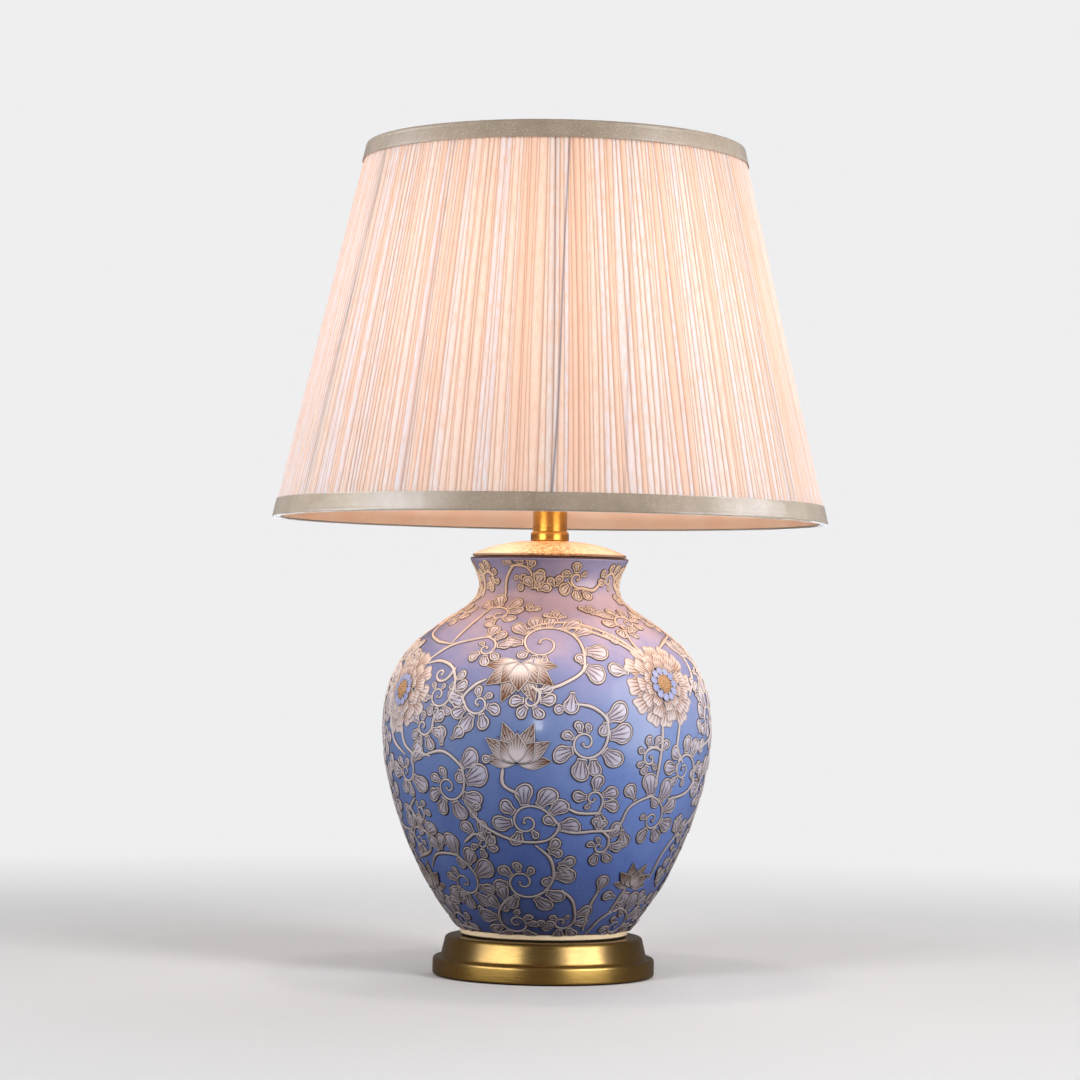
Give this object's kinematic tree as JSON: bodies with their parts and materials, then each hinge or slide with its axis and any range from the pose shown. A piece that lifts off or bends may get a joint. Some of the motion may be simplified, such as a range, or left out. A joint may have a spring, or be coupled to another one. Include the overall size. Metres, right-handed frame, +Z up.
{
  "type": "table lamp with shade",
  "caption": "Table lamp: glazed ginger-jar body on a round brass base, with a harp, a turn-knob lamp holder and a pleated empire shade held by a finial.",
  "frame": {"origin": "centre of the underside of the felt pad, on the surface that the lamp stands on", "axes": "+Z up along the lamp's axis; the front of the lamp, with the knob of its switch, faces -Y; +X is to the right seen from the front"},
  "size_m": [0.4022, 0.4044, 0.6029],
  "materials": {
    "felt": "dense felt",
    "steel": "zinc plated",
    "satin_brass": "satin brushed",
    "bright_brass": "polished",
    "cast_iron": "rough",
    "rubber": "matte",
    "blue_glaze": "glossy glaze with raised slip",
    "cream_glaze": "crackled glaze",
    "phenolic": "moulded phenolic",
    "fibreboard": "pressed board",
    "frosted_glass": "frosted",
    "pleated_cloth": "finely pleated cloth",
    "lining_cloth": "smooth lining",
    "satin_tape": "satin bias tape"
  },
  "bodies": {
    "stand": {"felt_pad": "felt", "base_cover": "steel", "base_shell": "satin_brass", "base_weight": "cast_iron", "cord_grommet": "rubber", "lamp_rod": "steel", "flat_washer": "steel", "lock_washer": "steel", "rod_nut": "steel", "foot_gasket": "rubber", "vase": "blue_glaze", "cap_gasket": "rubber", "vase_cap": "cream_glaze", "neck_collar": "satin_brass", "neck_tube": "satin_brass", "neck_cap": "bright_brass", "harp_saddle": "steel", "socket_cap": "bright_brass", "socket_shell": "bright_brass", "socket_liner": "fibreboard", "socket_body": "phenolic", "terminal_screw_left": "bright_brass", "terminal_screw_right": "bright_brass", "screw_shell": "bright_brass", "centre_contact": "bright_brass"},
    "switch_knob": {"knob_shaft": "bright_brass", "socket_knob": "phenolic"},
    "bulb": {"bulb_tip": "steel", "bulb_insulator": "phenolic", "bulb_cap": "steel", "bulb_glass": "frosted_glass"},
    "harp": {"harp_bow": "steel"},
    "ferrule_left": {"ferrule_left": "bright_brass"},
    "ferrule_right": {"ferrule_right": "bright_brass"},
    "stud": {"harp_stud": "bright_brass"},
    "shade": {"shade_top_ring": "steel", "shade_bottom_ring": "steel", "shade_rib_1": "steel", "shade_rib_2": "steel", "shade_rib_3": "steel", "shade_rib_4": "steel", "shade_rib_5": "steel", "shade_rib_6": "steel", "shade_cover": "pleated_cloth", "shade_lining": "lining_cloth", "trim_bottom": "satin_tape", "trim_top": "satin_tape"},
    "finial": {"finial": "bright_brass"}
  },
  "joints": [
    {"name": "switch_turn", "type": "hinge", "parent": "stand", "child": "switch_knob", "pos_m": [0, -0.03, 0.3746], "axis": [0, -1, 0], "continuous": true},
    {"name": "bulb_unscrew", "type": "slide", "parent": "stand", "child": "bulb", "axis": [0, 0, 1], "range_m": [0, 0.03]},
    {"name": "harp_lift", "type": "slide", "parent": "stand", "child": "harp", "axis": [0, 0, 1], "range_m": [0, 0.016]},
    {"name": "ferrule_left_slide", "type": "slide", "parent": "harp", "child": "ferrule_left", "axis": [0, 0, 1], "range_m": [0, 0.012]},
    {"name": "ferrule_right_slide", "type": "slide", "parent": "harp", "child": "ferrule_right", "axis": [0, 0, 1], "range_m": [0, 0.012]},
    {"name": "shade_turn", "type": "hinge", "parent": "harp", "child": "stud", "pos_m": [0, 0, 0.5766], "axis": [0, 0, 1], "continuous": true},
    {"name": "shade_lift", "type": "slide", "parent": "stud", "child": "shade", "axis": [0, 0, 1], "range_m": [0, 0.28]},
    {"name": "finial_turn", "type": "hinge", "parent": "shade", "child": "finial", "pos_m": [0, 0, 0.5804], "axis": [0, 0, 1], "continuous": true}
  ]
}
